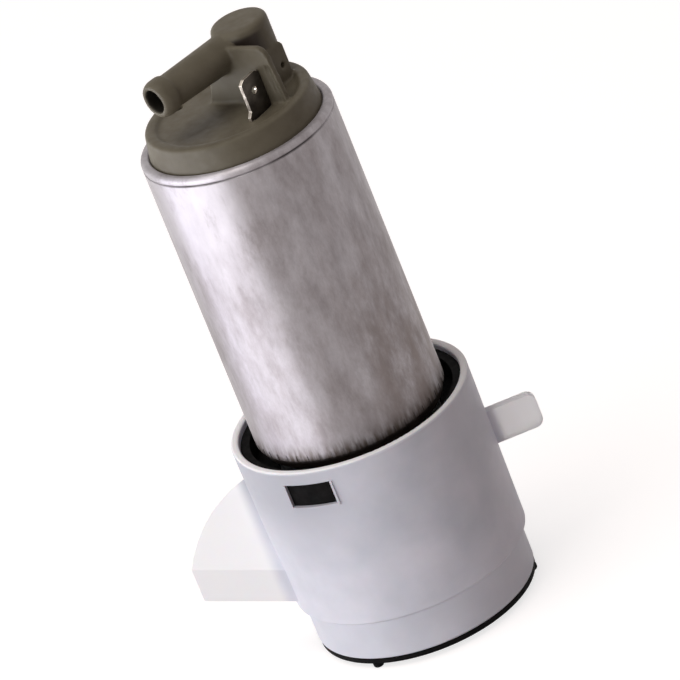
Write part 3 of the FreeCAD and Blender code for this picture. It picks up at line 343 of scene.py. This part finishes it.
def merged_copy(name, node, body, slot, *finishes):
    """A copy of a CAD node's mesh with its loose edges joined, that stands for the node."""
    bpy.ops.object.select_all(action="DESELECT")
    piece = bpy.data.objects.new(name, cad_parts[node].data.copy())
    bpy.context.scene.collection.objects.link(piece)
    bpy.context.view_layer.objects.active = piece
    piece.select_set(True)
    bpy.ops.object.mode_set(mode="EDIT")
    bpy.ops.mesh.select_all(action="SELECT")
    bpy.ops.mesh.remove_doubles(threshold=0.000002)
    bpy.ops.object.mode_set(mode="OBJECT")
    piece.data.materials.clear()
    for finish in finishes:
        piece.data.materials.append(finish)
    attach(piece, body)
    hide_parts(node)
    return piece


def wind_spring(name, node):
    """A copy of a spring node that stands for it, with a mesh of its own."""
    spring = merged_copy(name, node, "pump", "spring_steel", spring_steel)
    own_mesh(spring)


wind_spring("front_wound_spring", "front_brush_spring")
wind_spring("rear_wound_spring", "rear_brush_spring")
give(ferrite, "choke_cores")
give(copper, "choke_coils")

# Check and relief valves
# Each valve has a turned bronze seat and a wound spring that shortens as the valve lifts. The
# check valve's poppet and cage are plain plastic, and the relief valve has a steel ball.
give(sintered_bronze, "check_valve_seat", "relief_valve_seat")
give(natural_plastic, "check_valve_poppet", "check_valve_cage")
wind_spring("check_wound_spring", "check_valve_spring")
wind_spring("relief_wound_spring", "relief_valve_spring")
give(ground_steel, "relief_valve_ball")

# Can
# The can is drawn steel with a dull zinc skin, clouded down its length, with a painted highlight
# high on its left below the lip. The lip is rolled in over the cover. Painted shade darkens the
# groove below the lip, the lower right side and, in ragged streaks, the crimped lower end.
can_steel = start_finish("can_steel", Metallic=1.0, Anisotropic=0.8, Anisotropic_Rotation=0.25)
clouds = speckle(can_steel, 90, 9, (2, 2, 0.8), 0.72)
tint(can_steel, clouds, (0.35, (0.232, 0.208, 0.211)), (0.65, (0.348, 0.326, 0.338)))
gloss(can_steel, speckle(can_steel, 200, 8, (2, 2, 0.8), 0.7), 0.42, 0.62)
relief(can_steel, speckle(can_steel, 700, 4, (2, 2, 0.7)), 0.00002, 0.75)


def contrast(finish, pattern, clear, full):
    """Share of a noise pattern, hardened between two of its levels."""
    nodes, links = finish.node_tree.nodes, finish.node_tree.links
    share = nodes.new("ShaderNodeMapRange")
    share.inputs["From Min"].default_value = clear
    share.inputs["From Max"].default_value = full
    links.new(pattern, share.inputs["Value"])
    return share.outputs["Result"]


# Painted highlight: the can is painted brighter high on its left side, below the lip.
highlight_height = share_along(can_steel, "Z", 0.085, 0.116)
highlight_side = product(can_steel, highlight_height, share_along(can_steel, "X", 0.002, -0.012))
highlight_clouds = contrast(can_steel, clouds, 0.3, 0.5)
paint(can_steel, product(can_steel, highlight_side, highlight_clouds), (0.375, 0.352, 0.365))
# Painted shade: a broken dark line along the groove below the lip.
groove_level = 0.1184
groove_reach = 0.0005
groove_below = share_along(can_steel, "Z", groove_level - groove_reach, groove_level)
groove_above = share_along(can_steel, "Z", groove_level + groove_reach, groove_level)
groove = product(can_steel, groove_below, groove_above)
groove_shade_breaks = contrast(can_steel, speckle(can_steel, 60, 4), 0.35, 0.6)
paint(can_steel, product(can_steel, groove, groove_shade_breaks), (0.05, 0.042, 0.042))
# Painted shade: the lower right side of the can is darkened brownish, broken up by the clouds.
right_shade_height = share_along(can_steel, "Z", 0.1, 0.06)
right_shade_side = product(can_steel, right_shade_height, share_along(can_steel, "X", 0.0, 0.014))
right_shade_clouds = contrast(can_steel, clouds, 0.66, 0.38)
paint(can_steel, product(can_steel, right_shade_side, right_shade_clouds), (0.195, 0.165, 0.158))
# Painted shade: ragged dark streaks above the crimped lower end, and a dark band at the end itself
# where it sinks into the cup.
lower_shade_streaks = contrast(can_steel, speckle(can_steel, 400, 3, (2.4, 2.4, 0.5), 0.55), 0.36, 0.6)
lower_shade_streak_height = share_along(can_steel, "Z", 0.0545, 0.0495)
paint(can_steel, product(can_steel, lower_shade_streak_height, lower_shade_streaks), (0.09, 0.07, 0.058))
lower_end_shade_height = share_along(can_steel, "Z", 0.0515, 0.0487)
paint(can_steel, lower_end_shade_height, (0.03, 0.022, 0.018))
give(can_steel, "can_shell")

# Outlet cover
# The cover is one moulding of dark olive plastic with soft edges: a flanged cap, a round
# valve tower on a square base, the hose nozzle and an upright wall beside the terminal.
olive_plastic = start_finish("olive_plastic", IOR=1.5, Specular_IOR_Level=0.22)
tint(olive_plastic, speckle(olive_plastic, 200, 4),
     (0.3, (0.105, 0.090, 0.062)), (0.7, (0.135, 0.118, 0.084)))
gloss(olive_plastic, speckle(olive_plastic, 600, 2), 0.48, 0.62)
relief(olive_plastic, speckle(olive_plastic, 2000, 2), 0.00003, 0.5)


def share_in_bore(finish, through, direction, clear, full):
    """Share by the distance from a bore's axis, a point and a direction one unit long."""
    nodes, links = finish.node_tree.nodes, finish.node_tree.links
    place = nodes.new("ShaderNodeTexCoord")
    offset = nodes.new("ShaderNodeVectorMath")
    offset.operation = "SUBTRACT"
    offset.inputs[1].default_value = through
    across = nodes.new("ShaderNodeVectorMath")
    across.operation = "CROSS_PRODUCT"
    across.inputs[1].default_value = direction
    distance = nodes.new("ShaderNodeVectorMath")
    distance.operation = "LENGTH"
    share = nodes.new("ShaderNodeMapRange")
    share.inputs["From Min"].default_value = clear
    share.inputs["From Max"].default_value = full
    links.new(place.outputs["Object"], offset.inputs[0])
    links.new(offset.outputs["Vector"], across.inputs[0])
    links.new(across.outputs["Vector"], distance.inputs[0])
    links.new(distance.outputs["Value"], share.inputs["Value"])
    return share.outputs["Result"]


# Painted shade: the inside of the nozzle's bore is painted near black.
nozzle_middle = (-0.00345, -0.00236, 0.13565)
nozzle_way = (-0.848, -0.53, 0)
nozzle_bore_shade = share_in_bore(olive_plastic, nozzle_middle, nozzle_way, 0.0029, 0.0026)
nozzle_shade_side = share_along(olive_plastic, "X", 0.004, 0.001)
paint(olive_plastic, product(olive_plastic, nozzle_bore_shade, nozzle_shade_side), (0.006, 0.005, 0.004))
# Painted shade: the drum's side is painted dark just above the wall's top, in the slot between
# them.
tower_middle = (0.00865, 0.0052, 0)
slot_middle = (0.0065, -0.0003, 0)
upright = (0, 0, 1)
slot_shade_wall = share_in_bore(olive_plastic, tower_middle, upright, 0.00645, 0.00633)
slot_shade_side = share_in_bore(olive_plastic, slot_middle, upright, 0.0068, 0.0045)
slot_shade_height = share_along(olive_plastic, "Z", 0.1388, 0.1378)
slot = product(olive_plastic, slot_shade_wall, product(olive_plastic, slot_shade_side, slot_shade_height))
paint(olive_plastic, slot, (0.035, 0.026, 0.020))
moulded_cover = merged_copy(
    "moulded_cover", "outlet_cover", "pump", "plastic_olive", olive_plastic)
remesh = moulded_cover.modifiers.new("grain", "REMESH")
remesh.mode = "VOXEL"
remesh.voxel_size = 0.0003
bpy.ops.object.modifier_apply(modifier="grain")
smooth = moulded_cover.modifiers.new("soft_edges", "SMOOTH")
smooth.factor = 0.5
smooth.iterations = 8
bpy.ops.object.modifier_apply(modifier="soft_edges")
lighten = moulded_cover.modifiers.new("fewer_faces", "DECIMATE")
lighten.ratio = 0.4
bpy.ops.object.modifier_apply(modifier="fewer_faces")
bpy.ops.object.shade_smooth()
guide_reach = 0.0043
guide_top = 0.1198
guide_growth = 0.1
for brush_name in ("front_brush", "rear_brush"):
    brush_low, brush_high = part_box(brush_name)
    brush_middle = (Vector(brush_low) + Vector(brush_high)) / 2
    for vertex in moulded_cover.data.vertices:
        aside = vertex.co - brush_middle
        aside.z = 0
        if aside.length < guide_reach and vertex.co.z < guide_top:
            vertex.co += aside * guide_growth

# Terminals
# Two spade terminals are stamped from tinned brass strip and pressed down into the cover. Their
# faces are painted dark as a painted reflection, and the cut edges and the edge of the hole are
# painted bright as a painted highlight.
# Painted reflection: the faces' tin is painted dark.
tin_painted_dark_reflection = start_finish("tin_painted_dark_reflection", Metallic=1.0)
tint(tin_painted_dark_reflection, speckle(tin_painted_dark_reflection, 500, 5),
     (0.3, (0.045, 0.038, 0.032)), (0.7, (0.095, 0.083, 0.070)))
gloss(tin_painted_dark_reflection, speckle(tin_painted_dark_reflection, 900, 3), 0.32, 0.5)
relief(tin_painted_dark_reflection, speckle(tin_painted_dark_reflection, 1500, 3), 0.00001, 0.5)
# Painted highlight: the edges' tin is painted bright.
tin_painted_highlight = start_finish("tin_painted_highlight", Metallic=1.0)
tint(tin_painted_highlight, speckle(tin_painted_highlight, 800, 4), (0.3, (0.42, 0.37, 0.31)), (0.7, (0.58, 0.53, 0.46)))
gloss(tin_painted_highlight, speckle(tin_painted_highlight, 900, 3), 0.28, 0.42)
relief(tin_painted_highlight, speckle(tin_painted_highlight, 2500, 3), 0.00001, 0.5)


def stamp_blade(name, node):
    """A terminal with fine broken edges, painted bright as a painted highlight wherever the strip
    was cut.
    """
    blade = merged_copy(name, node, "pump", "terminal_brass", tin_painted_dark_reflection, tin_painted_highlight)
    bpy.ops.object.mode_set(mode="EDIT")
    bpy.ops.mesh.select_all(action="SELECT")
    bpy.ops.mesh.dissolve_limited(angle_limit=math.radians(1))
    bpy.ops.object.mode_set(mode="OBJECT")
    edges = blade.modifiers.new("broken_edges", "BEVEL")
    edges.width = 0.00007
    edges.segments = 2
    edges.limit_method = "ANGLE"
    edges.angle_limit = math.radians(40)
    bpy.ops.object.modifier_apply(modifier="broken_edges")
    # Faces across the blade get the painted dark reflection; edges, bevels and the hole's wall get
    # the painted highlight.
    face_normal = max(blade.data.polygons, key=lambda face: face.area).normal.copy()
    flat_enough = 0.9
    for face in blade.data.polygons:
        face.material_index = int(abs(face.normal.dot(face_normal)) < flat_enough)


stamp_blade("front_blade", "front_terminal")
stamp_blade("rear_blade", "rear_terminal")


# Studio
# The pump stands on a plain floor that shows white, under a pale sky. One large soft lamp
# hangs over its left, two low ones light it from the left and from behind, and two cards on
# the left show only as gleams in it.
def whiten(tree, surface, strength):
    """Add plain white to what the camera, mirror-like and clear surfaces see of a surface."""
    light_path = tree.nodes.new("ShaderNodeLightPath")
    seen = tree.nodes.new("ShaderNodeMath")
    seen.operation = "MAXIMUM"
    shown = tree.nodes.new("ShaderNodeMath")
    shown.operation = "MAXIMUM"
    tree.links.new(light_path.outputs["Is Camera Ray"], seen.inputs[0])
    tree.links.new(light_path.outputs["Is Glossy Ray"], seen.inputs[1])
    tree.links.new(seen.outputs[0], shown.inputs[0])
    tree.links.new(light_path.outputs["Is Transmission Ray"], shown.inputs[1])
    level = tree.nodes.new("ShaderNodeMath")
    level.operation = "MULTIPLY"
    level.inputs[1].default_value = strength
    tree.links.new(shown.outputs[0], level.inputs[0])
    glow = tree.nodes.new("ShaderNodeEmission")
    tree.links.new(level.outputs[0], glow.inputs["Strength"])
    both = tree.nodes.new("ShaderNodeAddShader")
    tree.links.new(surface.outputs[0], both.inputs[0])
    tree.links.new(glow.outputs[0], both.inputs[1])
    return both


bpy.ops.object.select_all(action="DESELECT")
feet_bottom = -0.0012
bpy.ops.mesh.primitive_plane_add(size=8, location=(0, 0, feet_bottom))
floor = bpy.context.object
floor.name = "studio_floor"
floor_finish = start_finish("studio_floor", Roughness=0.9, Base_Color=(0.52, 0.48, 0.47, 1))
floor_tree = floor_finish.node_tree
floor_white = whiten(floor_tree, floor_tree.nodes["Principled BSDF"], 0.72)
floor_tree.links.new(floor_white.outputs[0], floor_tree.nodes["Material Output"].inputs["Surface"])
floor.data.materials.append(floor_finish)

world = bpy.data.worlds.new("studio")
world.use_nodes = True
world_tree = world.node_tree
world_tree.nodes["Background"].inputs["Color"].default_value = (1, 0.88, 0.85, 1)
world_tree.nodes["Background"].inputs["Strength"].default_value = 0.25
world_white = whiten(world_tree, world_tree.nodes["Background"], 0.82)
world_tree.links.new(world_white.outputs[0], world_tree.nodes["World Output"].inputs["Surface"])
bpy.context.scene.world = world


def softbox(name, place, width, height, watts, colour, gleam_only=False):
    """Rectangular area lamp aimed at the middle of the pump, or a card that only gleams on it."""
    lamp = bpy.data.lights.new(name, "AREA")
    lamp.shape = "RECTANGLE"
    lamp.size = width
    lamp.size_y = height
    lamp.energy = watts
    lamp.color = colour
    holder = bpy.data.objects.new(name, lamp)
    holder.location = place
    pump_middle = Vector((0, 0, 0.065))
    aim = pump_middle - Vector(place)
    holder.rotation_euler = aim.to_track_quat("-Z", "Y").to_euler()
    holder.visible_diffuse = not gleam_only
    bpy.context.scene.collection.objects.link(holder)


softbox("top_softbox", (-0.25, -0.15, 1.1), 0.6, 0.6, 4.4, (1, 0.98, 0.95))
softbox("left_softbox", (-0.62, -0.34, 0.13), 0.8, 0.24, 3.2, (0.95, 0.975, 1))
softbox("back_softbox", (-0.5, 0.4, 0.1), 0.5, 0.2, 0.6, (0.95, 0.975, 1))
softbox("wide_card", (-0.56, -0.26, 0.1), 0.62, 0.2, 2.4, (0.86, 0.88, 1), gleam_only=True)
softbox("narrow_card", (-0.6, 0.12, 0.1), 0.15, 0.2, 1.25, (0.86, 0.88, 1), gleam_only=True)

bpy.context.scene.view_settings.view_transform = "Standard"
